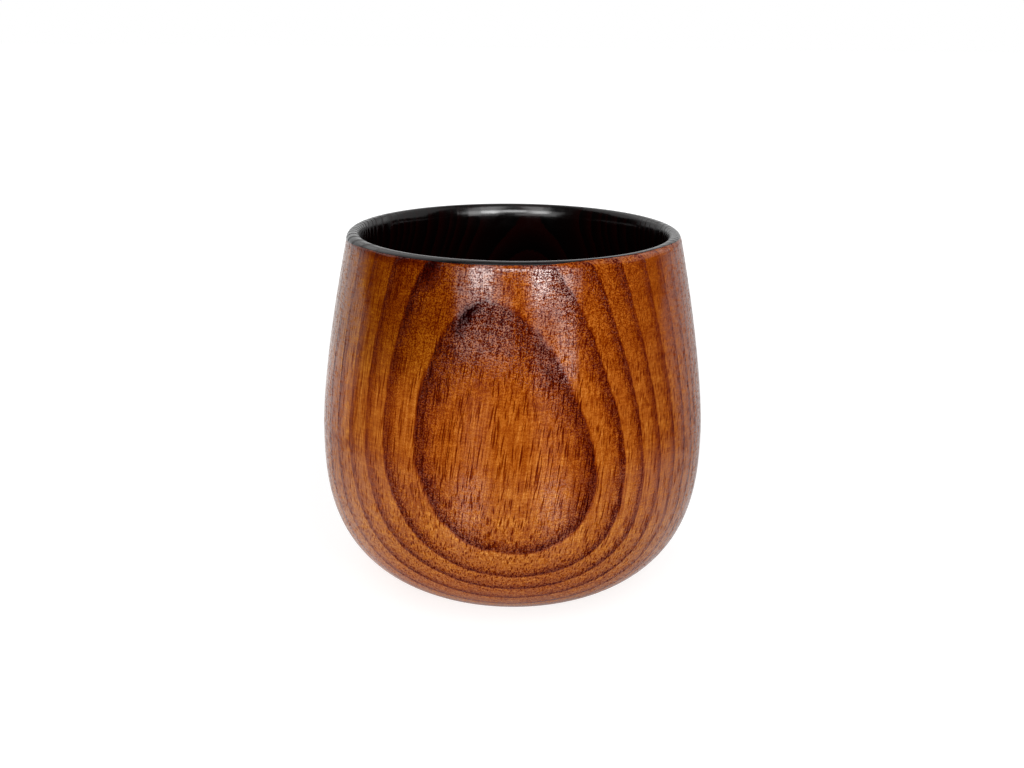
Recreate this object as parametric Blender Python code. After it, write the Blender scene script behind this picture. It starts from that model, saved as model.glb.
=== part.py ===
"""A round-bellied wooden mate cup, turned from one block and lacquered black inside.

Run it with: blender --background --python part.py
Units are metres, +Z is up, and the origin is the middle of the foot, on the table.
"""

import math

import bpy

# Outside of the cup
HEIGHT = 0.0751
BELLY_RADIUS = 0.0400
BELLY_HEIGHT = 0.0343
MOUTH_RADIUS = 0.03445
FOOT_RADIUS = 0.0200

# Shallow dish under the foot, so that the cup stands on a ring
DISH_RADIUS = 0.0150
DISH_DEPTH = 0.0012

# Wood left by turning the bowl
WALL = 0.0034
FLOOR = 0.0058
LIP_CORE_THICKNESS = 0.0016

# Black lacquer film that covers the bowl and wraps over the lip
FILM_THICKNESS = 0.0005
FILM_GAP = 0.0003
FILM_EDGE_ANGLE = math.radians(36)

# Form of the walls: 2 would be an ellipse below the belly, and 1 a straight taper above it
OUTSIDE_FULLNESS = 2.755
BOWL_FULLNESS = 2.6
TAPER_EASE = 1.46

# Facets
TURN_STEPS = 60
LOWER_POINTS = 10
UPPER_POINTS = 6
LIP_INNER_POINTS = 5
LIP_OUTER_POINTS = 3
DISH_POINTS = 4
MERGE_DISTANCE = 1e-5

# Colours, as linear values
WOOD_COLOUR = (0.26, 0.085, 0.022, 1.0)
WOOD_ROUGHNESS = 0.42
BLACK_COLOUR = (0.006, 0.0055, 0.005, 1.0)
BLACK_ROUGHNESS = 0.3

# The lip is a circle seen in section: wood core, gap and film
LIP_CORE = LIP_CORE_THICKNESS / 2
FILM_BACK = FILM_GAP
FILM_FACE = FILM_GAP + FILM_THICKNESS
LIP_ROUND = LIP_CORE + FILM_FACE
LIP_CENTRE = (MOUTH_RADIUS - LIP_ROUND, HEIGHT - LIP_ROUND)
FILM_END_ANGLE = FILM_EDGE_ANGLE + FILM_GAP / (LIP_CORE + FILM_BACK)


def steps(start, end, count):
    """Evenly spaced values from start to end, with both ends."""
    return [start + (end - start) * i / (count - 1) for i in range(count)]


def on_lip(radius, angle):
    """A point on a circle around the lip's centre. Angle 0 points outward and a quarter turn up."""
    return (LIP_CENTRE[0] + radius * math.cos(angle), LIP_CENTRE[1] + radius * math.sin(angle))


def below_belly(angle, radius, depth, fullness):
    """A point of the rounded lower wall. Angle 0 is at the belly and a quarter turn on the axis."""
    across = (math.cos(angle) / radius) ** fullness
    down = (math.sin(angle) / depth) ** fullness
    reach = (across + down) ** (-1 / fullness)
    return (reach * math.cos(angle), BELLY_HEIGHT - reach * math.sin(angle))


def above_belly(height, radius, end):
    """A point of the upper wall, which eases from upright at the belly into a taper up to end."""
    rise = (height - BELLY_HEIGHT) / (end[1] - BELLY_HEIGHT)
    return (radius - (radius - end[0]) * rise**TAPER_EASE, height)


def lip_meeting(radius, lip_radius):
    """Angle on the lip's circle where the upper wall runs into it with no crease.

    A negative lip radius gives the wall on the bowl's side.
    """
    lean = 0.0
    for _ in range(10):
        end = on_lip(lip_radius, lean)
        lean = math.atan(TAPER_EASE * (radius - end[0]) / (end[1] - BELLY_HEIGHT))
    return lean


def bowl_line(inset, lip_end):
    """The bowl from its middle up and over the lip, standing inset off the wood."""
    radius = BELLY_RADIUS - WALL - inset
    depth = BELLY_HEIGHT - FLOOR - inset
    lip_radius = LIP_CORE + inset
    lean = lip_meeting(radius, -lip_radius)
    wall_end = on_lip(-lip_radius, lean)
    line = [(0.0, BELLY_HEIGHT - depth)]
    for angle in steps(math.pi / 2, 0, LOWER_POINTS)[1:]:
        line.append(below_belly(angle, radius, depth, BOWL_FULLNESS))
    for height in steps(BELLY_HEIGHT, wall_end[1], UPPER_POINTS)[1:-1]:
        line.append(above_belly(height, radius, wall_end))
    for angle in steps(math.pi + lean, math.pi / 2, LIP_INNER_POINTS):
        line.append(on_lip(lip_radius, angle))
    for angle in steps(math.pi / 2, lip_end, LIP_OUTER_POINTS)[1:]:
        line.append(on_lip(lip_radius, angle))
    return line


def outside_line():
    """The outside from the film's edge on the lip down to the middle of the dish under the foot."""
    foot_share = (FOOT_RADIUS / BELLY_RADIUS) ** OUTSIDE_FULLNESS
    depth = BELLY_HEIGHT / (1 - foot_share) ** (1 / OUTSIDE_FULLNESS)
    lean = lip_meeting(BELLY_RADIUS, LIP_ROUND)
    wall_end = on_lip(LIP_ROUND, lean)
    foot_angle = math.atan2(BELLY_HEIGHT, FOOT_RADIUS)
    line = [on_lip(LIP_ROUND, angle) for angle in steps(FILM_EDGE_ANGLE, lean, LIP_OUTER_POINTS)]
    for height in steps(wall_end[1], BELLY_HEIGHT, UPPER_POINTS + 1)[1:-1]:
        line.append(above_belly(height, BELLY_RADIUS, wall_end))
    for angle in steps(0, foot_angle, LOWER_POINTS)[:-1]:
        line.append(below_belly(angle, BELLY_RADIUS, depth, OUTSIDE_FULLNESS))
    line.append((FOOT_RADIUS, 0.0))
    for radius in steps(DISH_RADIUS, 0, DISH_POINTS):
        line.append((radius, DISH_DEPTH * (1 - (radius / DISH_RADIUS) ** 2)))
    return line


def finish(name, colour, roughness):
    material = bpy.data.materials.new(name)
    material.use_nodes = True
    shader = material.node_tree.nodes["Principled BSDF"]
    shader.inputs["Base Color"].default_value = colour
    shader.inputs["Roughness"].default_value = roughness
    shader.inputs["Metallic"].default_value = 0.0
    material.diffuse_color = colour
    return material


def turned(name, line, material, parent):
    """One closed piece, made by turning a line of (radius, height) points about the cup's axis."""
    mesh = bpy.data.meshes.new(name)
    points = [(radius, 0.0, height) for radius, height in line]
    edges = [(i, i + 1) for i in range(len(points) - 1)]
    mesh.from_pydata(points, edges, [])
    mesh.materials.append(material)
    piece = bpy.data.objects.new(name, mesh)
    piece.parent = parent
    bpy.context.scene.collection.objects.link(piece)
    screw = piece.modifiers.new("turning", "SCREW")
    screw.steps = TURN_STEPS
    screw.render_steps = TURN_STEPS
    screw.use_merge_vertices = True
    screw.merge_threshold = MERGE_DISTANCE
    screw.use_smooth_shade = True
    return piece


def wooden_body(parent):
    """The turned wood: bowl, lip core, belly and foot, with a step where the film's edge lies."""
    line = bowl_line(0.0, FILM_EDGE_ANGLE) + outside_line()
    turned("wooden_body", line, finish("lacquered_wood", WOOD_COLOUR, WOOD_ROUGHNESS), parent)


def black_lacquer_lining(parent):
    """The film: its face towards the drink, then its back towards the wood."""
    face = bowl_line(FILM_FACE, FILM_END_ANGLE)
    back = bowl_line(FILM_BACK, FILM_END_ANGLE)
    line = face + back[::-1]
    turned("black_lacquer_lining", line, finish("black_lacquer", BLACK_COLOUR, BLACK_ROUGHNESS), parent)


def main():
    for item in list(bpy.data.objects):
        bpy.data.objects.remove(item, do_unlink=True)
    cup = bpy.data.objects.new("mate_cup", None)
    bpy.context.scene.collection.objects.link(cup)
    wooden_body(cup)
    black_lacquer_lining(cup)


main()
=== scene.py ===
"""Looks of a wooden mate cup: lacquered ring wood outside, black lacquer in the bowl and over the lip."""

import math

import bpy
from mathutils import Matrix, Vector


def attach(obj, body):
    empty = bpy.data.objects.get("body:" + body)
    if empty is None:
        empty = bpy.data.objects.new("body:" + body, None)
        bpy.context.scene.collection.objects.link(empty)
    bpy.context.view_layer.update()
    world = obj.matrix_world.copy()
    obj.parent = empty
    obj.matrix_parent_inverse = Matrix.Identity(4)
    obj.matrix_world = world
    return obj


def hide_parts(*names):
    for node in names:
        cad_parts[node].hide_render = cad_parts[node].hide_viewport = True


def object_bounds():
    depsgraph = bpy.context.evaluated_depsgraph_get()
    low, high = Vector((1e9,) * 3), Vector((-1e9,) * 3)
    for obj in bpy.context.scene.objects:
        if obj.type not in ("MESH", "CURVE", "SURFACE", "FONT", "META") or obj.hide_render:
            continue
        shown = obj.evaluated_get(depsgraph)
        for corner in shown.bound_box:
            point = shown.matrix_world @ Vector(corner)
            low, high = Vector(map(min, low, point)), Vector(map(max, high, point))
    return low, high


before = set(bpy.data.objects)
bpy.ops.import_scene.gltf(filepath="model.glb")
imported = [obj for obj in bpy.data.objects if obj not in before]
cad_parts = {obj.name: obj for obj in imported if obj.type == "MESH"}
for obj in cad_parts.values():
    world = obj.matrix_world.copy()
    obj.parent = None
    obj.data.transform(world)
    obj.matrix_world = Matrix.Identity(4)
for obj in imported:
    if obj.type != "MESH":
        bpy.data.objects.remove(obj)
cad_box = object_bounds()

# Sizes of the turned form in metres: the first two come from the frame, and the others repeat the solids
HEIGHT = cad_box[1].z
BELLY_RADIUS = cad_box[1].x
BELLY_HEIGHT = 0.0343
MOUTH_RADIUS = 0.03445
FOOT_RADIUS = 0.0200
DISH_RADIUS = 0.0150
DISH_DEPTH = 0.0012
OUTSIDE_FULLNESS = 2.755
BOWL_FULLNESS = 2.6
TAPER_EASE = 1.46

# Wall, floor and lip, measured to the film's face
WALL = 0.0042
FLOOR = 0.0066
LIP_ROUND = 0.0016
LIP_CENTRE = (MOUTH_RADIUS - LIP_ROUND, HEIGHT - LIP_ROUND)

# The lip's bowl side, which is taller and fuller than in the solids
LIP_TALL = 0.0044
LIP_FULLNESS = 2.7

# The film of lacquer, far thinner than its solid, with its back sunk a little into the wood
FILM = 0.00007
FILM_SINK = 0.00002

# The film's edge, as an angle on the lip: it dips at the left, rises at the right front and wanders
EDGE_ANGLE = math.radians(42)
EDGE_DIP = math.radians(30)
EDGE_DIP_AT = math.radians(-80)
EDGE_DIP_NARROWNESS = 40
EDGE_RISE = math.radians(31)
EDGE_RISE_START = (math.radians(5), math.radians(30))
EDGE_RISE_END = (math.radians(52), math.radians(85))
EDGE_WANDER = math.radians(1.2)
# Each wave of the wandering: how many there are round the cup, its share and where it starts
EDGE_WAVES = ((5, 1.0, 0.6), (11, 0.6, 2.0), (23, 0.4, 0.0))

# Fineness of the meshes: steps round the cup, and points along each stretch of a section
TURN_STEPS = 320
LIP_POINTS = 20
UPPER_WALL_POINTS = 60
LOWER_WALL_POINTS = 72
DISH_POINTS = 16
FILM_EDGE_POINTS = 6
FILM_BACK_POINTS = 14

# Points along a bowl's three stretches: its wall below the belly, its wall above it and the lip's bowl side
WOOD_BOWL_POINTS = (24, 16, 20)
FACE_BOWL_POINTS = (40, 30, 28)
BACK_BOWL_POINTS = (24, 16, 16)

# Rounds that settle where a wall runs into the lip
MEETING_ROUNDS = 10

# Narrow flat bands beside the foot ring's edges, which keep the wall's smooth shading off the ring
FOOT_BAND = 0.0008

# How far down its half of the bake map each stretch ends: hidden bowl, outside and foot; face and back
WOOD_MAP = (0.06, 0.92, 0.99)
FILM_MAP = (0.92, 0.99)

# Places on the cup are in millimetres below. A span is (from, to, level before, level after) or (from, to).
MILLIMETRES = (1000.0, 1000.0, 1000.0)

# Growth rings: the pith is a leaning line behind the cup
PITH_X = 3.1
PITH_Y = 61.0
PITH_LEAN_X = 0.135
PITH_LEAN_Y = 0.06
LEAN_FROM = 35.0
RING_EDGES = (66.6, 68.6, 70.2, 71.6, 73.0, 74.4, 75.9, 77.5, 79.3, 81.4, 83.7,
              86.4, 89.3, 92.1, 94.5, 96.5, 98.75, 101.8)

# Rings nearer the pith are even, apart from waves of (quickness, size)
INNER_SPACING = 2.3
INNER_WAVES = ((0.5, 0.7), (1.3, 0.25))

# How the rings bow away from round, by their distance from the pith, and how their edges drift
BOW = (82.0, 102.0, -1.2, 0.8)
BOW_LENGTH = 30.0
BOW_SIDEWAYS = 0.774
BOW_TWIST = -0.857
BOW_UPWARD = -0.552
DRIFT_SCALE = (0.11, 0.11, 0.05)
DRIFT = (0.0, 1.0, -0.2, 0.2)
JAG_SCALE = (1.6, 1.6, 0.25)
JAG = (0.0, 1.0, -0.14, 0.14)

# Stain of a ring, by distance past its edge and by the share of the way through it, whichever is less
STAIN_PAST_EDGE = ((0.0, 1.70), (0.25, 1.58), (0.45, 1.36), (0.7, 1.14), (1.0, 1.02), (1.5, 0.96),
                   (2.2, 0.92), (3.2, 0.88))
STAIN_THROUGH_RING = ((0.0, 1.70), (0.10, 1.60), (0.22, 1.36), (0.38, 1.10), (0.60, 0.95), (1.0, 0.87))
STAIN_BEFORE_EDGE = (0.93, 1.0, 0.0, 0.8)

# Share of early wood, in the same way. Both it and the stain reach further high on the wall and at the sides.
EARLY_PAST_EDGE = ((0.0, 1.0), (0.3, 0.9), (0.6, 0.5), (1.1, 0.15), (1.8, 0.0), (3.2, 0.0))
EARLY_THROUGH_RING = ((0.0, 1.0), (0.12, 0.9), (0.28, 0.5), (0.50, 0.12), (0.70, 0.0), (1.0, 0.0))
EARLY_FADE_BY_HEIGHT = (20.0, 62.0, 1.28, 0.70)
EARLY_FADE_BY_SIDE = (16.0, 30.0, 1.0, 0.82)

# Rings stand out less from the plain stain at the sides and low down
PLAIN_STAIN = 0.95
CALM_BY_SIDE = (16.0, 30.0, 1.0, 0.76)
CALM_BY_HEIGHT = (6.0, 20.0, 0.7, 1.0)

# Fibres and pores are softer high on the wall and at the sides, and pits and pores fade near the foot
HIGH_WALL = (48.0, 64.0)
FINE_BY_HIGH = (0.0, 1.0, 1.0, 0.6)
FINE_BY_SIDE = (14.0, 28.0, 1.0, 0.75)
ROUGH_BY_HEIGHT = (3.0, 12.0, 0.3, 1.0)

# Fibres, clouds and bands
FIBRE_SCALE = (3.0, 3.0, 0.06)
FIBRE_DETAIL = 1.5
FIBRE_ROUGHNESS = 0.6
FIBRE_STAIN = (0.25, 0.75, 0.38, -0.38)
CLOUD_SCALE = (0.09, 0.09, 0.03)
CLOUD_STAIN = (0.3, 0.7, 0.08, -0.08)
BAND_SCALE = (0.03, 0.03, 0.40)
BAND_STAIN = (0.3, 0.7, 0.09, -0.09)

# Pits, a fine weave of grain and turning
WARP_SCALE = (6.4, 6.4, 3.0)
WEFT_SCALE = (3.0, 3.0, 6.4)
PIT_EDGE = (0.48, 0.54)
PITS_IN_EARLY = 0.03
PITS_BY_SIDE = (18.0, 30.0, 1.0, 0.2)
PIT_STAIN_BY_EARLY = (0.0, 1.0, 0.28, 1.20)
PIT_STAIN_HIGH_LATE = 0.45
STAIN_HIGH_EARLY = -0.20

# Pores, long cells along a swaying grain, fine and coarse
SWAY_SCALE = (0.5, 0.5, 0.2)
SWAY = 0.8
FINE_PORES = (2.6, 2.6, 0.14)
COARSE_PORES = (1.8, 1.8, 0.10)
COARSE_SHIFT = (7.3, 2.1, 5.7)
PORE_WIDTH_BY_EARLY = (0.0, 1.0, 0.30, 0.36)
PORE_EDGE = (0.6, 1.1, 1.0, 0.0)

# Lines left by the lathe
LATHE_SCALE = (0.6, 0.6, 2.5)
LATHE_LEVEL = (0.25, 0.75, -1.0, 1.0)
LATHE_STAIN = -0.16
GROOVE_EDGE = (0.54, 0.60)

# Dark marks by the early wood: place, reach and added stain
MARKS = (
    ((-8.5, -35.0, 65.9), 1.9, 1.5), ((-7.0, -34.9, 67.7), 1.5, 1.0), ((-9.8, -35.1, 63.2), 2.0, 0.75),
    ((6.8, -37.4, 53.7), 3.0, 0.3), ((5.2, -36.8, 59.2), 2.5, 0.2), ((-15.5, -31.0, 72.8), 3.0, 1.3),
    ((14.0, -36.5, 34.0), 7.0, 0.35), ((-19.9, -28.5, 71.9), 4.0, 0.7), ((-21.3, -28.8, 66.6), 4.0, 0.6))
MARK_SQUEEZE = (1.0, 1.0, 0.6)
MARK_CORE = 0.2
MARK_BY_EARLY = (0.0, 0.8, 0.25, 1.0)

# Painted light and shade by place on the cup: painted light low down and near the foot, and painted shade
# high up, along the middle, at the right side, left of the middle and low down right of the middle. Each row
# is a product of spans, along the axis that each names
PAINTED_LIGHT_AND_SHADE = (
    (("z", 16.0, 44.0, -0.05, 0.09),),
    (("z", 48.0, 68.0, 0.0, 0.09),),
    (("z", 2.0, 9.0, -0.25, 0.0),),
    (("aside", 5.0, 15.0, 0.12, 0.0),),
    (("x", 16.0, 30.0, 0.0, 0.13),),
    (("x", -31.0, -24.0, 0.0, 0.04), ("x", -18.0, -10.0, 1.0, 0.0)),
    (("z", 14.0, 30.0, 0.10, 0.0), ("x", 2.0, 8.0, 0.0, 1.0), ("x", 15.0, 21.0, 1.0, 0.0)))

# Painted shade on late wood high in front, and a dark wash by the film's edge at the left front
LATE_WOOD_SHADE = (("z", 58.0, 66.0, 0.0, 0.17), ("aside", 12.0, 18.0, 1.0, 0.0), ("aside", 2.0, 6.0, 0.0, 1.0))
EDGE_STAIN = (("x", -16.0, -11.0, 0.6, 0.0), ("z", 72.6, 74.4, 0.0, 1.0))

# Painted shade high at the left: deeper stain, with more contrast and more green
UPPER_LEFT_SHADE = (("x", -22.0, 4.0, 1.0, 0.0), ("z", 42.0, 64.0, 0.0, 1.0))
UPPER_LEFT_SHADE_STAIN = 0.38
UPPER_LEFT_SHADE_STAIN_BY_SIDE = (-33.0, -25.0, 0.4, 1.0)
UPPER_LEFT_SHADE_CONTRAST = 0.18
UPPER_LEFT_SHADE_CONTRAST_FROM = 1.15
GREEN_BY_UPPER_LEFT_SHADE = (0.0, 1.0, 1.0, 1.34)

# Colour of the wood: red to the power of the stain, then green and blue from red, as a factor and a power
LIGHT_RED = 0.378
GREEN_FACTOR = 0.54
GREEN_POWER = 1.8
GREEN_LOW = (8.0, 18.0, 1.0, 1.15)
GREEN_HIGH = (22.0, 40.0, 1.0, 0.95)
BLUE_FACTOR = 0.22
BLUE_POWER = 3.2

# Relief of the wood in millimetres, and the share of clear lacquer lost in pits, grooves, pores and marks
RELIEF_UNIT = 0.001
PIT_RELIEF = -0.020
LATHE_RELIEF = 0.002
FIBRE_RELIEF = 0.006
CLEAR_IN_PITS_BY_EARLY = (0.0, 1.0, -0.70, -0.95)
CLEAR_IN_GROOVES = -0.38
CLEAR_IN_PORES = -0.75
CLEAR_IN_MARKS = -0.45
CLEAR_ROUGHNESS = 0.09
CLEAR_IOR = 1.6
WOOD_ROUGHNESS = 0.45

# Black lacquer: red that shows through by the share of a ring, and the rings' ridges and dull lines
BLACK = 0.0003
BLACK_REDS = ((0.0, 0.0003), (0.5, 0.0016), (1.0, 0.0045))
BLACK_IOR = 1.5
RIDGES = ((0.0, 0.0), (0.25, 0.5), (0.8, 1.0), (1.0, 0.0))
DULL_LINES = ((0.0, 1.0), (0.3, 0.0), (0.8, 0.0), (1.0, 1.0))
LIP_LEFT = (-31.0, -23.0, 1.0, 0.0)
LIP_RIGHT = (25.0, 32.0, 0.0, 0.5)
LIP_ABOVE = (70.5, 72.5)
RIDGE_RELIEF = (58.0, 70.0, 0.05, 0.008)
RIDGE_RELIEF_ON_LIP = 0.08
SWELL_SCALE = (0.35, 0.35, 0.35)
SWELL_RELIEF = 0.03
BLACK_ROUGHNESS = (72.8, 74.9, 0.10, 0.20)
SWELL_ROUGHNESS = (0.3, 0.7, 0.0, 0.05)
LINE_ROUGHNESS = 0.3

# White sheet under the cup, in metres: its white to the camera, and the light that diffuse rays find in it
WHITE = (1.0, 1.0, 1.0, 1.0)
PAPER = (0.35, 0.35, 0.35, 1.0)
SHEET_REACH = 2.0
SHEET_WHITE = (0.10, 0.45, 0.78, 1.0)
POOL_CENTRE = (0.005, -0.05, 0.0)
POOL = (0.09, 0.30, 0.56, 0.12)
POOL_BEHIND = (0.0, 0.5, 0.22, 0.9)
POOL_LEFT_CENTRE = (-0.13, 0.0, 0.0)
POOL_LEFT = (0.05, 0.20, 1.4, 0.0)

# The light that glossy rays find in it, by distance and by direction: -1 is in front and 1 is behind
GLOSS_BY_DISTANCE = (0.05, 0.22, 0.88, 0.06)
GLOSS_BY_DIRECTION = (-0.9, -0.1, 0.5, 0.85)
GLOSS_BY_FOOT = (0.035, 0.06, 0.92, 1.0)
RIM_BESIDE = (0.12, 0.40, 0.0, 0.75)
RIM_BEHIND = (0.40, 0.85, 0.0, 0.45)
RIM_BY_SIDE = (-0.1, 0.1, 0.80, 0.60)
GLINT_ASIDE = 0.34
GLINT_WIDTH = (0.0, 0.22, 1.45, 0.0)
GLINT_START = (0.04, 0.10)
GLINT_END = (0.11, 0.22, 1.0, 0.3)

# Light of the world by direction: from behind the cup, weaker at the right, with more from straight behind
BACK_LIGHT = (0.30, 0.62, 0.01, 0.70)
BACK_LIGHT_BY_SIDE = (-0.4, 0.4, 0.85, 0.75)
BACK_LIGHT_MIDDLE = (0.84, 0.96, 0.0, 0.38)

# Lamps: name, azimuth and elevation in degrees, distance, width and height in metres, power in watts
LAMPS = (
    ("softbox_left", -20.5, 17.0, 0.80, 0.20, 0.15, 0.90),
    ("softbox_left_wide", -23.0, 16.4, 0.82, 0.44, 0.16, 0.42),
    ("softbox_right", 19.0, 17.0, 0.80, 0.18, 0.15, 1.20),
    ("softbox_right_wide", 26.0, 15.8, 0.82, 0.52, 0.16, 0.60),
    ("softbox_left_high", -20.0, 41.0, 0.80, 0.20, 0.56, 1.42),
    ("softbox_right_high", 19.0, 41.0, 0.80, 0.18, 0.56, 1.29),
    ("strip_right", 32.0, 12.4, 0.80, 0.16, 0.31, 0.56),
    ("strip_right_high", 33.0, 38.0, 0.80, 0.16, 0.43, 0.60),
    ("softbox_middle", 0.0, 20.6, 0.80, 0.26, 0.15, 1.25),
    ("softbox_left_low", -18.0, 8.0, 0.80, 0.50, 0.10, 0.34),
    ("softbox_right_low", 19.0, 6.0, 0.80, 0.20, 0.14, 0.15),
    ("softbox_over", 0.0, 80.0, 0.80, 0.50, 0.50, 0.40),
    ("side_right", 104.0, 38.0, 0.80, 0.90, 0.80, 1.30),
    ("side_left", -122.0, 45.0, 0.80, 0.80, 0.60, 1.10))

# Camera, fitted to the photograph's view: lens and sensor in millimetres, distances in metres
LENS = 50.0
SENSOR = 36.0
CLIP_NEAR = 0.01
CLIP_FAR = 50.0
CAMERA_DISTANCE = 0.302318
CAMERA_PITCH = math.radians(16.445)
CAMERA_ROLL = math.radians(0.52)
CAMERA_TARGET = Vector((-0.000163, 0.0, 0.041886))


def steps(start, end, count):
    """Evenly spaced values from start to end, with both ends."""
    return [start + (end - start) * i / (count - 1) for i in range(count)]


def eased(value, start, end):
    """0 before start and 1 past end, with a smooth way between them."""
    share = min(max((value - start) / (end - start), 0.0), 1.0)
    return share * share * (3 - 2 * share)


def on_lip(radius, angle):
    """A point on a circle around the lip's centre. Angle 0 points outward and a quarter turn up."""
    return (LIP_CENTRE[0] + radius * math.cos(angle), LIP_CENTRE[1] + radius * math.sin(angle))


def below_belly(angle, radius, depth, fullness):
    """A point of the rounded lower wall. Angle 0 is at the belly and a quarter turn on the axis."""
    across = (math.cos(angle) / radius) ** fullness
    down = (math.sin(angle) / depth) ** fullness
    reach = (across + down) ** (-1 / fullness)
    return (reach * math.cos(angle), BELLY_HEIGHT - reach * math.sin(angle))


def above_belly(height, radius, end):
    """A point of the upper wall, which eases from upright at the belly into a taper up to end."""
    rise = (height - BELLY_HEIGHT) / (end[1] - BELLY_HEIGHT)
    return (radius - (radius - end[0]) * rise**TAPER_EASE, height)


def lip_meeting(lip_radius):
    """Angle on the lip's outer circle where the outside wall runs into it with no crease."""
    lean = 0.0
    for _ in range(MEETING_ROUNDS):
        end = on_lip(lip_radius, lean)
        lean = math.atan(TAPER_EASE * (BELLY_RADIUS - end[0]) / (end[1] - BELLY_HEIGHT))
    return lean


def inside_lip(under, angle):
    """A point of the lip's tall bowl side, at a depth under its face. Angle 0 points at the axis."""
    across = math.cos(angle)
    rise = math.sin(angle)
    if rise > 0:
        across = max(across, 0.0) ** (2 / LIP_FULLNESS)
        rise = rise ** (2 / LIP_FULLNESS)
    radius = LIP_CENTRE[0] - (LIP_ROUND - under) * across
    height = HEIGHT - LIP_TALL + (LIP_TALL - under) * rise
    return (radius, height)


def inside_meeting(under, radius):
    """Angle on the lip's bowl side where the bowl's wall runs into it with no crease."""
    angle = 0.0
    for _ in range(MEETING_ROUNDS):
        end = inside_lip(under, angle)
        lean = TAPER_EASE * (radius - end[0]) / (end[1] - BELLY_HEIGHT)
        angle = -math.atan(lean * (LIP_TALL - under) / (LIP_ROUND - under))
    return angle


def bowl_and_lip(under, low_points, high_points, lip_points):
    """The bowl from its middle up to the top of the lip, at a depth under the film's face."""
    radius = BELLY_RADIUS - WALL + under
    depth = BELLY_HEIGHT - FLOOR + under
    meeting = inside_meeting(under, radius)
    wall_end = inside_lip(under, meeting)
    line = [(0.0, BELLY_HEIGHT - depth)]
    for angle in steps(math.pi / 2, 0, low_points)[1:]:
        line.append(below_belly(angle, radius, depth, BOWL_FULLNESS))
    for height in steps(BELLY_HEIGHT, wall_end[1], high_points)[1:-1]:
        line.append(above_belly(height, radius, wall_end))
    for angle in steps(meeting, math.pi / 2, lip_points):
        line.append(inside_lip(under, angle))
    return line


def wood_inside():
    """The wood under the film: the bowl, then the lip down to where the outside wall starts."""
    lip_radius = LIP_ROUND - FILM
    line = bowl_and_lip(FILM, *WOOD_BOWL_POINTS)
    for angle in steps(math.pi / 2, lip_meeting(lip_radius), LIP_POINTS)[1:]:
        line.append(on_lip(lip_radius, angle))
    return line


def wood_outside():
    """The outside wall from below the lip down to the foot's edge."""
    lip_radius = LIP_ROUND - FILM
    wall_end = on_lip(lip_radius, lip_meeting(lip_radius))
    foot_share = (FOOT_RADIUS / BELLY_RADIUS) ** OUTSIDE_FULLNESS
    depth = BELLY_HEIGHT / (1 - foot_share) ** (1 / OUTSIDE_FULLNESS)
    foot_angle = math.atan2(BELLY_HEIGHT, FOOT_RADIUS)
    line = []
    for height in steps(wall_end[1], BELLY_HEIGHT, UPPER_WALL_POINTS)[1:-1]:
        line.append(above_belly(height, BELLY_RADIUS, wall_end))
    for angle in steps(0, foot_angle, LOWER_WALL_POINTS):
        line.append(below_belly(angle, BELLY_RADIUS, depth, OUTSIDE_FULLNESS))
    return line


def wood_foot():
    """The flat ring that the cup stands on, and the dish inside it."""
    line = [(FOOT_RADIUS - FOOT_BAND, 0.0), (DISH_RADIUS + FOOT_BAND, 0.0)]
    for radius in steps(DISH_RADIUS, 0, DISH_POINTS):
        line.append((radius, DISH_DEPTH * (1 - (radius / DISH_RADIUS) ** 2)))
    return line


def film_edge(turn):
    """Angle on the lip where the black film stops, for an angle round the cup with 0 at the front."""
    aside = math.remainder(turn, math.tau)
    dip = ((1 + math.cos(turn - EDGE_DIP_AT)) / 2) ** EDGE_DIP_NARROWNESS
    rise = eased(aside, *EDGE_RISE_START) * (1 - eased(aside, *EDGE_RISE_END))
    wander = sum(share * math.sin(count * turn + start) for count, share, start in EDGE_WAVES)
    return EDGE_ANGLE - EDGE_DIP * dip + EDGE_RISE * rise + EDGE_WANDER * wander


def film_face(edge):
    """The film's face from the middle of the bowl over the lip to its edge."""
    line = bowl_and_lip(0.0, *FACE_BOWL_POINTS)
    for angle in steps(math.pi / 2, edge, LIP_POINTS)[1:]:
        line.append(on_lip(LIP_ROUND, angle))
    return line


def film_line(turn):
    """Section of the film: its face up and over the lip, its rounded edge, then its back."""
    edge = film_edge(turn)
    line = film_face(edge)
    middle = LIP_ROUND - FILM / 2
    for angle in steps(0, math.pi, FILM_EDGE_POINTS)[1:]:
        radius = middle + FILM / 2 * math.cos(angle)
        line.append(on_lip(radius, edge - FILM / 2 / middle * math.sin(angle)))
    under = FILM + FILM_SINK
    for angle in steps(edge, math.pi / 2, FILM_BACK_POINTS)[:-1]:
        line.append(on_lip(LIP_ROUND - under, angle))
    return line + bowl_and_lip(under, *BACK_BOWL_POINTS)[::-1]


def shares_by_length(line, last_points, last_shares):
    """Shares along a line, even by length within each stretch, which ends at a point with a set share."""
    lengths = [0.0]
    for a, b in zip(line, line[1:]):
        lengths.append(lengths[-1] + math.dist(a, b))
    shares = []
    first = 0
    base = 0.0
    for last, end in zip(last_points, last_shares):
        stretch = lengths[last] - lengths[first]
        for i in range(first, last):
            shares.append(base + (end - base) * (lengths[i] - lengths[first]) / stretch)
        first = last
        base = end
    shares.append(base)
    return shares


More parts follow.
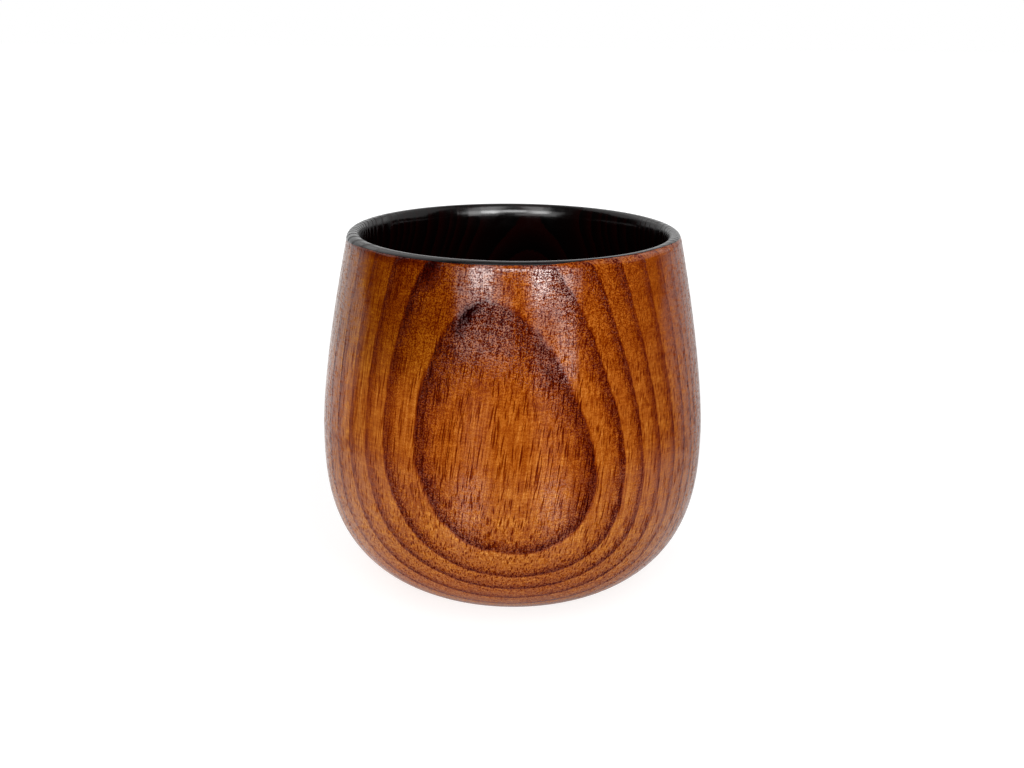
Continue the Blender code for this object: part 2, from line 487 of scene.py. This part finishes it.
def turned(name, lines, shares, material):
    """A closed piece from sections round the cup's axis, one for each step of the turn.

    A section is a line of (radius, height) points with both ends on the axis. The shares place its points
    on the bake map, which is two half turns, one above the other.
    """
    rows = len(shares) - 2
    points = []
    for i, line in enumerate(lines):
        turn = math.tau * i / TURN_STEPS
        for radius, height in line[1:-1]:
            points.append((radius * math.sin(turn), -radius * math.cos(turn), height))
    start = len(points)
    end = start + 1
    points += [(0.0, 0.0, lines[0][0][1]), (0.0, 0.0, lines[0][-1][1])]
    half = TURN_STEPS // 2
    faces = []
    places = []
    for i in range(TURN_STEPS):
        here = i * rows
        there = (i + 1) % TURN_STEPS * rows
        left = (i % half) / half
        right = (i % half + 1) / half
        middle = (left + right) / 2
        levels = [(i // half + share) / 2 for share in shares]
        faces.append((start, here, there))
        places += [(middle, levels[0]), (left, levels[1]), (right, levels[1])]
        for row in range(1, rows):
            faces.append((here + row - 1, here + row, there + row, there + row - 1))
            places += [(left, levels[row]), (left, levels[row + 1])]
            places += [(right, levels[row + 1]), (right, levels[row])]
        faces.append((here + rows - 1, end, there + rows - 1))
        places += [(left, levels[rows]), (middle, levels[rows + 1]), (right, levels[rows])]
    mesh = bpy.data.meshes.new(name)
    mesh.from_pydata(points, [], faces)
    bake_map = mesh.uv_layers.new(name="OFBake")
    bake_map.data.foreach_set("uv", [value for place in places for value in place])
    mesh.polygons.foreach_set("use_smooth", [True] * len(mesh.polygons))
    mesh.materials.append(material)
    mesh.validate()
    mesh.update()
    piece = bpy.data.objects.new(name, mesh)
    bpy.context.scene.collection.objects.link(piece)
    return piece


class Graph:
    """Short calls that build a node tree. A value is a number, a colour or another node's output."""

    def __init__(self, tree):
        self.tree = tree

    def add(self, kind, inputs=None, **settings):
        node = self.tree.nodes.new(kind)
        for key, value in settings.items():
            setattr(node, key, value)
        for key, value in (inputs or {}).items():
            self.put(node.inputs[key], value)
        return node

    def put(self, socket, value):
        if isinstance(value, bpy.types.NodeSocket):
            self.tree.links.new(value, socket)
        else:
            socket.default_value = value

    def math(self, operation, *values):
        return self.add("ShaderNodeMath", dict(enumerate(values)), operation=operation).outputs[0]

    def total(self, first, *others):
        for other in others:
            first = self.math("ADD", first, other)
        return first

    def product(self, first, *others):
        for other in others:
            first = self.math("MULTIPLY", first, other)
        return first

    def vector(self, operation, *values):
        node = self.add("ShaderNodeVectorMath", dict(enumerate(values)), operation=operation)
        return node.outputs["Vector"]

    def distance(self, place, centre=(0.0, 0.0, 0.0)):
        node = self.add("ShaderNodeVectorMath", {0: place, 1: centre}, operation="DISTANCE")
        return node.outputs["Value"]

    def parts(self, vector):
        return self.add("ShaderNodeSeparateXYZ", {0: vector}).outputs[:3]

    def join(self, x, y, z):
        return self.add("ShaderNodeCombineXYZ", {0: x, 1: y, 2: z}).outputs[0]

    def mix(self, factor, a, b):
        return self.add("ShaderNodeMix", {0: factor, 2: a, 3: b}).outputs[0]

    def span(self, value, start, end, low=0.0, high=1.0, ease="SMOOTHSTEP"):
        """The level low before start and high past end, with an eased or straight way between them."""
        keys = {"Value": value, "From Min": start, "From Max": end, "To Min": low, "To Max": high}
        return self.add("ShaderNodeMapRange", keys, interpolation_type=ease).outputs[0]

    def noise(self, place, scale, detail, roughness=0.5):
        scaled = self.vector("MULTIPLY", place, scale)
        keys = {"Vector": scaled, "Scale": 1.0, "Detail": detail, "Roughness": roughness}
        return self.add("ShaderNodeTexNoise", keys).outputs["Fac"]

    def cells(self, place, scale):
        """Distance to the nearest of scattered points."""
        scaled = self.vector("MULTIPLY", place, scale)
        node = self.add("ShaderNodeTexVoronoi", {"Vector": scaled, "Scale": 1.0}, feature="F1")
        return node.outputs["Distance"]

    def ramp(self, factor, stops):
        """A colour that changes evenly between (place, colour) stops."""
        node = self.add("ShaderNodeValToRGB", {0: factor})
        elements = node.color_ramp.elements
        while len(elements) < len(stops):
            elements.new(1.0)
        for element, (place, colour) in zip(elements, stops):
            element.position = place
            element.color = (*colour, 1.0)
        return node.outputs["Color"]

    def grey_ramp(self, factor, stops):
        return self.ramp(factor, [(place, (level,) * 3) for place, level in stops])

    def curve(self, value, stops):
        """A value that follows straight lines between (place, height) stops, the first at place 0."""
        reach = stops[-1][0]
        top = max(height for _, height in stops)
        node = self.add("ShaderNodeFloatCurve", {"Value": self.math("DIVIDE", value, reach)})
        points = node.mapping.curves[0].points
        while len(points) < len(stops):
            points.new(0.5, 0.5)
        for point, (place, height) in zip(points, stops):
            point.location = (place / reach, height / top)
            point.handle_type = "VECTOR"
        node.mapping.update()
        return self.math("MULTIPLY", node.outputs[0], top)

    def relief(self, height):
        keys = {"Height": height, "Distance": RELIEF_UNIT, "Strength": 1.0}
        return self.add("ShaderNodeBump", keys).outputs["Normal"]


class Spot:
    """Where a point of the cup lies, in millimetres. Aside is how far it is to either side."""

    def __init__(self, graph):
        coordinates = graph.add("ShaderNodeTexCoord").outputs["Object"]
        self.place = graph.vector("MULTIPLY", coordinates, MILLIMETRES)
        self.x, self.y, self.z = graph.parts(self.place)
        self.aside = graph.math("ABSOLUTE", self.x)


def patch(graph, spot, spans):
    """Product of spans, each along the spot's axis that it names."""
    return graph.product(*[graph.span(getattr(spot, axis), *span) for axis, *span in spans])


def principled(name):
    """A new material, its node tree and its shader."""
    material = bpy.data.materials.new(name)
    material.use_nodes = True
    return material, Graph(material.node_tree), material.node_tree.nodes["Principled BSDF"]


def bowed(graph, spot, rise, distance):
    """Distance from the pith, bent so that the far rings bow as they do on the cup."""
    side = graph.math("DIVIDE", spot.x, BOW_LENGTH)
    up = graph.math("DIVIDE", rise, BOW_LENGTH)
    sideways = graph.product(side, BOW_SIDEWAYS)
    twist = graph.product(side, up, BOW_TWIST)
    upward = graph.product(up, up, BOW_UPWARD)
    bow = graph.total(sideways, twist, upward)
    return graph.math("MULTIPLY_ADD", graph.span(distance, *BOW, "LINEAR"), bow, distance)


def outer_rings(graph, distance):
    """Distance past the edge of the ring that a point is in, and the share of the way through it."""
    first = RING_EDGES[0]
    last = RING_EDGES[-1]
    shares = [(edge - first) / (last - first) for edge in RING_EDGES]
    numbers_by_share = [(share, number) for number, share in enumerate(shares)]
    number = graph.curve(graph.span(distance, first, last, ease="LINEAR"), numbers_by_share)
    edge = graph.curve(graph.math("FLOOR", number), list(enumerate(shares)))
    past = graph.math("SUBTRACT", distance, graph.span(edge, 0.0, 1.0, first, last, "LINEAR"))
    return past, graph.math("FRACT", number)


def inner_rings(graph, distance):
    """The same for the rings that are nearer the pith than the first edge."""
    inside = graph.math("SUBTRACT", distance, RING_EDGES[0])
    waved = inside
    for quickness, size in INNER_WAVES:
        wave = graph.math("SINE", graph.product(inside, quickness))
        waved = graph.math("MULTIPLY_ADD", wave, size, waved)
    past = graph.math("FLOORED_MODULO", waved, INNER_SPACING)
    return past, graph.math("DIVIDE", past, INNER_SPACING)


def growth_rings(graph, spot):
    """Distance past the ring's edge, share of the way through the ring, and the place along the grain."""
    rise = graph.math("SUBTRACT", spot.z, LEAN_FROM)
    straight_x = graph.math("SUBTRACT", spot.x, graph.product(rise, PITH_LEAN_X))
    straight_y = graph.math("SUBTRACT", spot.y, graph.product(rise, PITH_LEAN_Y))
    grain = graph.join(straight_x, straight_y, spot.z)
    distance = graph.distance(graph.join(straight_x, straight_y, 0.0), (PITH_X, PITH_Y, 0.0))
    drift = graph.noise(grain, DRIFT_SCALE, detail=1.0)
    jag = graph.noise(grain, JAG_SCALE, detail=2.0)
    distance = bowed(graph, spot, rise, distance)
    distance = graph.total(distance, graph.span(drift, *DRIFT, "LINEAR"), graph.span(jag, *JAG, "LINEAR"))
    within = graph.math("LESS_THAN", distance, RING_EDGES[0])
    outer_past, outer_share = outer_rings(graph, distance)
    inner_past, inner_share = inner_rings(graph, distance)
    past = graph.mix(within, outer_past, inner_past)
    share = graph.mix(within, outer_share, inner_share)
    return past, share, grain


def ring_stain(graph, spot, past, share):
    """Stain of the rings, and the share of early wood."""
    fade_high = graph.span(spot.z, *EARLY_FADE_BY_HEIGHT, "LINEAR")
    faded = graph.product(past, fade_high, graph.span(spot.aside, *EARLY_FADE_BY_SIDE))
    early_past = graph.curve(faded, EARLY_PAST_EDGE)
    early = graph.math("MINIMUM", early_past, graph.curve(share, EARLY_THROUGH_RING))
    stain_past = graph.curve(faded, STAIN_PAST_EDGE)
    stain = graph.math("MINIMUM", stain_past, graph.curve(share, STAIN_THROUGH_RING))
    stain = graph.total(stain, graph.span(share, *STAIN_BEFORE_EDGE))
    calm = graph.product(graph.span(spot.aside, *CALM_BY_SIDE), graph.span(spot.z, *CALM_BY_HEIGHT))
    extra = graph.math("SUBTRACT", stain, PLAIN_STAIN)
    return graph.math("MULTIPLY_ADD", extra, calm, PLAIN_STAIN), early


def cloud_stain(graph, spot, grain):
    """Wide clouds along the grain and faint bands round the cup."""
    clouds = graph.noise(grain, CLOUD_SCALE, detail=2.0)
    bands = graph.noise(spot.place, BAND_SCALE, detail=1.0)
    return graph.total(graph.span(clouds, *CLOUD_STAIN, "LINEAR"), graph.span(bands, *BAND_STAIN, "LINEAR"))


def wood_pits(graph, spot, grain, wall, early):
    """Where the weave of grain and turning leaves pits, more of them in early wood."""
    warp = graph.noise(grain, WARP_SCALE, detail=0.0)
    weft = graph.noise(wall, WEFT_SCALE, detail=0.0)
    speckle = graph.product(graph.total(warp, weft), 0.5)
    pits = graph.span(graph.math("MULTIPLY_ADD", early, PITS_IN_EARLY, speckle), *PIT_EDGE)
    return graph.product(pits, graph.span(spot.aside, *PITS_BY_SIDE))


def pit_stain(graph, pits, early, late, high):
    """Stain in the pits, deepest in early wood, where the wood between them is paler high on the wall."""
    high_late = graph.product(high, late, PIT_STAIN_HIGH_LATE)
    deep = graph.total(graph.span(early, *PIT_STAIN_BY_EARLY, "LINEAR"), high_late)
    return graph.total(graph.product(pits, deep), graph.product(high, early, STAIN_HIGH_EARLY))


def wood_pores(graph, grain, early):
    """Pores, fine and coarse, wider in early wood."""
    sway = graph.product(graph.noise(grain, SWAY_SCALE, detail=1.0), SWAY)
    swayed = graph.vector("ADD", grain, graph.join(sway, 0.0, 0.0))
    shifted = graph.vector("ADD", swayed, COARSE_SHIFT)
    width = graph.span(early, *PORE_WIDTH_BY_EARLY, "LINEAR")
    fine = graph.math("DIVIDE", graph.cells(swayed, FINE_PORES), width)
    coarse = graph.math("DIVIDE", graph.cells(shifted, COARSE_PORES), width)
    return graph.math("MAXIMUM", graph.span(fine, *PORE_EDGE), graph.span(coarse, *PORE_EDGE))


def dark_marks(graph, spot, early):
    """Stain of the dark marks, strongest in early wood."""
    marks = []
    for centre, reach, strength in MARKS:
        apart = graph.vector("MULTIPLY", graph.vector("SUBTRACT", spot.place, centre), MARK_SQUEEZE)
        marks.append(graph.span(graph.distance(apart), MARK_CORE * reach, reach, strength, 0.0))
    return graph.product(graph.total(*marks), graph.span(early, *MARK_BY_EARLY, "LINEAR"))


def painted_light_and_shade(graph, spot, late):
    """Painted light and shade by place on the cup, and painted shade on late wood high in front."""
    painted_patches = [patch(graph, spot, spans) for spans in PAINTED_LIGHT_AND_SHADE]
    return graph.total(*painted_patches, graph.product(patch(graph, spot, LATE_WOOD_SHADE), late))


def wood_colour(graph, spot, stain):
    """Colour of the wood for a depth of stain, with painted shade high at the left and a dark wash by the
    film's edge.
    """
    upper_left_shade = patch(graph, spot, UPPER_LEFT_SHADE)
    # Painted shade high at the left: more stain, more contrast between the rings and more green
    contrast = graph.product(graph.math("SUBTRACT", stain, UPPER_LEFT_SHADE_CONTRAST_FROM), upper_left_shade, UPPER_LEFT_SHADE_CONTRAST)
    left_shade_stain = graph.product(upper_left_shade, graph.span(spot.x, *UPPER_LEFT_SHADE_STAIN_BY_SIDE), UPPER_LEFT_SHADE_STAIN)
    stain = graph.total(stain, contrast, left_shade_stain, patch(graph, spot, EDGE_STAIN))
    red = graph.math("POWER", LIGHT_RED, stain)
    green = graph.product(graph.math("POWER", red, GREEN_POWER), GREEN_FACTOR)
    green = graph.product(green, graph.span(upper_left_shade, *GREEN_BY_UPPER_LEFT_SHADE))
    green = graph.product(green, graph.span(spot.z, *GREEN_LOW), graph.span(spot.z, *GREEN_HIGH))
    blue = graph.product(graph.math("POWER", red, BLUE_POWER), BLUE_FACTOR)
    return graph.add("ShaderNodeCombineColor", {0: red, 1: green, 2: blue}).outputs[0]


def wood_material():
    """Ring-porous wood under clear lacquer: rings, fibres, pits, pores, dark marks and turning lines."""
    material, graph, shader = principled("lacquered_ring_wood")
    spot = Spot(graph)
    past, share, grain = growth_rings(graph, spot)
    rings, early = ring_stain(graph, spot, past, share)
    late = graph.math("SUBTRACT", 1.0, early)
    along = graph.total(spot.z, graph.distance(graph.join(spot.x, spot.y, 0.0)))
    wall = graph.join(spot.x, spot.y, along)
    high = graph.span(spot.z, *HIGH_WALL)
    fineness = graph.product(graph.span(high, *FINE_BY_HIGH), graph.span(spot.aside, *FINE_BY_SIDE))
    rough = graph.span(spot.z, *ROUGH_BY_HEIGHT)

    fibres = graph.noise(grain, FIBRE_SCALE, FIBRE_DETAIL, FIBRE_ROUGHNESS)
    pits = graph.product(wood_pits(graph, spot, grain, wall, early), rough)
    pores = graph.product(wood_pores(graph, grain, early), fineness, rough)
    marks = dark_marks(graph, spot, early)
    turning = graph.noise(wall, LATHE_SCALE, detail=1.0)
    lathe = graph.span(turning, *LATHE_LEVEL, "LINEAR")
    grooves = graph.span(turning, *GROOVE_EDGE)

    # The stain adds up the wood's own stain and the painted light and shade by place
    stain = graph.total(
        rings, graph.product(graph.span(fibres, *FIBRE_STAIN, "LINEAR"), fineness),
        cloud_stain(graph, spot, grain), pit_stain(graph, pits, early, late, high), marks, pores,
        graph.product(lathe, LATHE_STAIN), painted_light_and_shade(graph, spot, late))
    height = graph.total(
        graph.product(pits, early, PIT_RELIEF), graph.product(lathe, LATHE_RELIEF),
        graph.product(fibres, FIBRE_RELIEF))
    clear = graph.total(
        1.0, graph.product(pits, graph.span(early, *CLEAR_IN_PITS_BY_EARLY, "LINEAR")),
        graph.product(grooves, CLEAR_IN_GROOVES), graph.product(pores, CLEAR_IN_PORES),
        graph.product(marks, CLEAR_IN_MARKS))
    relief = graph.relief(height)

    graph.put(shader.inputs["Base Color"], wood_colour(graph, spot, stain))
    graph.put(shader.inputs["Normal"], relief)
    graph.put(shader.inputs["Coat Weight"], graph.span(clear, 0.0, 1.0, ease="LINEAR"))
    graph.put(shader.inputs["Coat Normal"], relief)
    shader.inputs["Roughness"].default_value = WOOD_ROUGHNESS
    shader.inputs["Specular IOR Level"].default_value = 0.0
    shader.inputs["Coat Roughness"].default_value = CLEAR_ROUGHNESS
    shader.inputs["Coat IOR"].default_value = CLEAR_IOR
    return material


def lacquer_material():
    """Black lacquer, thin enough for a trace of red and of the rings' relief to show."""
    material, graph, shader = principled("black_lacquer_film")
    spot = Spot(graph)
    _, share, _ = growth_rings(graph, spot)
    colour = graph.ramp(share, [(place, (red, BLACK, BLACK)) for place, red in BLACK_REDS])
    swell = graph.noise(spot.place, SWELL_SCALE, detail=2.0)
    ends = graph.math("MAXIMUM", graph.span(spot.x, *LIP_LEFT), graph.span(spot.x, *LIP_RIGHT))
    lip_ends = graph.product(ends, graph.span(spot.z, *LIP_ABOVE))
    tall = graph.math("MULTIPLY_ADD", lip_ends, RIDGE_RELIEF_ON_LIP, graph.span(spot.z, *RIDGE_RELIEF))
    ridges = graph.product(graph.grey_ramp(share, RIDGES), tall)
    lines = graph.product(graph.grey_ramp(share, DULL_LINES), lip_ends)
    roughness = graph.total(
        graph.span(spot.z, *BLACK_ROUGHNESS), graph.span(swell, *SWELL_ROUGHNESS),
        graph.product(lines, LINE_ROUGHNESS))
    graph.put(shader.inputs["Base Color"], colour)
    graph.put(shader.inputs["Roughness"], roughness)
    graph.put(shader.inputs["Normal"], graph.relief(graph.math("MULTIPLY_ADD", swell, SWELL_RELIEF, ridges)))
    shader.inputs["IOR"].default_value = BLACK_IOR
    return material


def wooden_cup():
    """The turned wood, whole under the film."""
    inside = wood_inside()
    outside = wood_outside()
    line = inside + outside + wood_foot()
    last_points = (len(inside), len(inside) + len(outside) - 1, len(line) - 1)
    shares = shares_by_length(line, last_points, WOOD_MAP)
    cup = turned("wooden_cup", [line] * TURN_STEPS, shares, wood_material())
    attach(cup, "root")
    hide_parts("wooden_body")


def lacquer_lining():
    """The black film in the bowl and over the lip."""
    lines = [film_line(math.tau * i / TURN_STEPS) for i in range(TURN_STEPS)]
    last_points = (len(film_face(EDGE_ANGLE)) - 1, len(lines[0]) - 1)
    shares = shares_by_length(lines[0], last_points, FILM_MAP)
    film = turned("lacquer_lining", lines, shares, lacquer_material())
    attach(film, "root")
    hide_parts("black_lacquer_lining")


def sheet_pool(graph, ground, y):
    """Light that diffuse rays find in the sheet: a pool in front, more behind and some at the left."""
    front = graph.span(graph.distance(ground, POOL_CENTRE), *POOL)
    left = graph.span(graph.distance(ground, POOL_LEFT_CENTRE), *POOL_LEFT)
    return graph.math("MAXIMUM", graph.math("MAXIMUM", front, graph.span(y, *POOL_BEHIND)), left)


def sheet_gloss(graph, x, y, far):
    """Light that glossy rays find in the sheet: round the foot, two glints in front and a rim behind."""
    direction = graph.math("DIVIDE", y, far)
    near = graph.product(graph.span(far, *GLOSS_BY_DISTANCE), graph.span(direction, *GLOSS_BY_DIRECTION))
    near = graph.product(near, graph.span(far, *GLOSS_BY_FOOT))
    aside = graph.math("ABSOLUTE", graph.math("DIVIDE", x, far))
    off = graph.math("ABSOLUTE", graph.math("SUBTRACT", aside, GLINT_ASIDE))
    glints = graph.product(
        graph.span(off, *GLINT_WIDTH), graph.span(far, *GLINT_START), graph.span(far, *GLINT_END),
        graph.math("LESS_THAN", y, 0.0))
    rim = graph.total(graph.span(direction, *RIM_BESIDE), graph.span(direction, *RIM_BEHIND))
    rim = graph.product(rim, graph.span(x, *RIM_BY_SIDE))
    return graph.math("MAXIMUM", graph.total(near, glints), rim)


def sheet_material():
    """White paper to the camera, with the cup's shadow, and a sheet of soft light to all other rays."""
    material = bpy.data.materials.new("white_sheet")
    material.use_nodes = True
    material.node_tree.nodes.clear()
    graph = Graph(material.node_tree)
    path = graph.add("ShaderNodeLightPath")
    ground = graph.add("ShaderNodeTexCoord").outputs["Object"]
    x, y, _ = graph.parts(ground)
    far = graph.distance(ground)
    glow = graph.mix(
        path.outputs["Is Glossy Ray"], sheet_pool(graph, ground, y), sheet_gloss(graph, x, y, far))
    lit = graph.add("ShaderNodeEmission", {"Color": WHITE, "Strength": glow})
    white = graph.add("ShaderNodeEmission", {"Color": WHITE, "Strength": graph.span(far, *SHEET_WHITE)})
    paper = graph.add("ShaderNodeBsdfDiffuse", {"Color": PAPER})
    sheet = graph.add("ShaderNodeAddShader", {0: white.outputs[0], 1: paper.outputs[0]})
    seen = path.outputs["Is Camera Ray"]
    either = graph.add("ShaderNodeMixShader", {0: seen, 1: lit.outputs[0], 2: sheet.outputs[0]})
    graph.add("ShaderNodeOutputMaterial", {"Surface": either.outputs[0]})
    return material


def studio_floor():
    """A plain white sheet that shows white to the camera apart from the cup's soft shadow."""
    corners = ((-1, -1), (1, -1), (1, 1), (-1, 1))
    mesh = bpy.data.meshes.new("floor")
    mesh.from_pydata([(SHEET_REACH * x, SHEET_REACH * y, 0.0) for x, y in corners], [], [(0, 1, 2, 3)])
    mesh.materials.append(sheet_material())
    floor = bpy.data.objects.new("floor", mesh)
    bpy.context.scene.collection.objects.link(floor)


def studio_world():
    """White to the camera, and to other rays bright behind the cup and dim in front."""
    world = bpy.data.worlds.new("studio")
    bpy.context.scene.world = world
    world.use_nodes = True
    world.node_tree.nodes.clear()
    graph = Graph(world.node_tree)
    direction = graph.add("ShaderNodeTexCoord").outputs["Generated"]
    x, y, _ = graph.parts(direction)
    light = graph.product(graph.span(y, *BACK_LIGHT), graph.span(x, *BACK_LIGHT_BY_SIDE))
    light = graph.total(light, graph.span(y, *BACK_LIGHT_MIDDLE))
    seen = graph.add("ShaderNodeLightPath").outputs["Is Camera Ray"]
    strength = graph.math("MAXIMUM", light, seen)
    sky = graph.add("ShaderNodeBackground", {"Color": WHITE, "Strength": strength})
    graph.add("ShaderNodeOutputWorld", {"Surface": sky.outputs[0]})


def softbox(name, azimuth, elevation, distance, width, height, power):
    """A rectangular lamp aimed at the cup. Azimuth 0 is towards the camera and 90 along +X."""
    lamp = bpy.data.lights.new(name, "AREA")
    lamp.shape = "RECTANGLE"
    lamp.size = width
    lamp.size_y = height
    lamp.energy = power
    lamp_object = bpy.data.objects.new(name, lamp)
    bpy.context.scene.collection.objects.link(lamp_object)
    turn = math.radians(azimuth)
    lift = math.radians(elevation)
    away = Vector((math.sin(turn) * math.cos(lift), -math.cos(turn) * math.cos(lift), math.sin(lift)))
    lamp_object.location = Vector((0, 0, BELLY_HEIGHT)) + away * distance
    lamp_object.rotation_euler = away.to_track_quat("Z", "Y").to_euler()


def camera():
    """The camera at the photograph's view, pitched down and rolled a little."""
    data = bpy.data.cameras.new("camera")
    data.lens = LENS
    data.sensor_width = SENSOR
    data.clip_start = CLIP_NEAR
    data.clip_end = CLIP_FAR
    eye = bpy.data.objects.new("camera", data)
    bpy.context.scene.collection.objects.link(eye)
    forward = Vector((0, math.cos(CAMERA_PITCH), -math.sin(CAMERA_PITCH)))
    right = Vector((1, 0, 0))
    up = right.cross(forward)
    rolled_right = math.cos(CAMERA_ROLL) * right + math.sin(CAMERA_ROLL) * up
    rolled_up = math.cos(CAMERA_ROLL) * up - math.sin(CAMERA_ROLL) * right
    turn = Matrix((rolled_right, rolled_up, -forward)).transposed()
    eye.matrix_world = Matrix.Translation(CAMERA_TARGET - CAMERA_DISTANCE * forward) @ turn.to_4x4()
    bpy.context.scene.camera = eye


def studio():
    """The floor, the world, the lamps and the plain view transform."""
    studio_floor()
    studio_world()
    for lamp in LAMPS:
        softbox(*lamp)
    bpy.context.scene.view_settings.view_transform = "Standard"


camera()
wooden_cup()
lacquer_lining()
studio()
